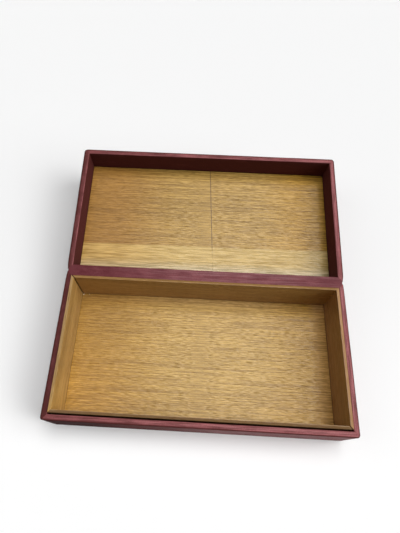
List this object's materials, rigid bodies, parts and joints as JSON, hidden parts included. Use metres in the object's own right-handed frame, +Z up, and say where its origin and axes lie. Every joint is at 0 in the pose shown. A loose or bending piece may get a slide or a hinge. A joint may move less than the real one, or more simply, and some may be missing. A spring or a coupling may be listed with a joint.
{
  "type": "hinged tea ceremony box",
  "caption": "Leather-covered wooden tea ceremony box: a lower tray with a raised oak liner and a leather-hinged lid tray lying open behind it.",
  "frame": {"origin": "centre of the lower tray's underside", "axes": "+Z up, +Y from the front of the lower tray towards the hinge and the open lid, +X to the right seen from the front"},
  "size_m": [0.32, 0.3347, 0.0666],
  "materials": {
    "leather_cover": "burgundy grained leather, lightly glazed",
    "leather_hinge": "burgundy grained leather, softer along the fold",
    "oak_liner": "oak, thin satin varnish, bare pale top edge",
    "oak_floor": "oak veneer, satin varnish",
    "oak_lid_panel": "oak veneer with a pale sapwood band, satin varnish",
    "core_board": "plain sawn board, hidden under the leather"
  },
  "bodies": {
    "base": {"base_bottom_board": "core_board", "base_front_board": "core_board", "base_back_board": "core_board", "base_left_board": "core_board", "base_right_board": "core_board", "base_underside_leather": "leather_cover", "base_front_leather": "leather_cover", "base_left_leather": "leather_cover", "base_right_leather": "leather_cover", "base_spine_leather": "leather_hinge", "base_hinge_lining": "leather_hinge", "base_floor_panel": "oak_floor", "base_liner_front": "oak_liner", "base_liner_back": "oak_liner", "base_liner_left": "oak_liner", "base_liner_right": "oak_liner", "hinge_spine_web": "leather_hinge", "hinge_lining_web": "leather_hinge"},
    "lid": {"lid_top_board": "core_board", "lid_front_board": "core_board", "lid_back_board": "core_board", "lid_left_board": "core_board", "lid_right_board": "core_board", "lid_top_leather": "leather_cover", "lid_front_leather": "leather_cover", "lid_left_leather": "leather_cover", "lid_right_leather": "leather_cover", "lid_spine_leather": "leather_hinge", "lid_hinge_lining": "leather_hinge", "lid_panel_left": "oak_lid_panel", "lid_panel_right": "oak_lid_panel"}
  },
  "joints": [
    {"name": "lid_hinge", "type": "hinge", "parent": "base", "child": "lid", "pos_m": [0, 0.0836, 0.05315], "axis": [1, 0, 0], "range_deg": [0, 175.3], "deforming": ["hinge_spine_web", "hinge_lining_web"]}
  ]
}
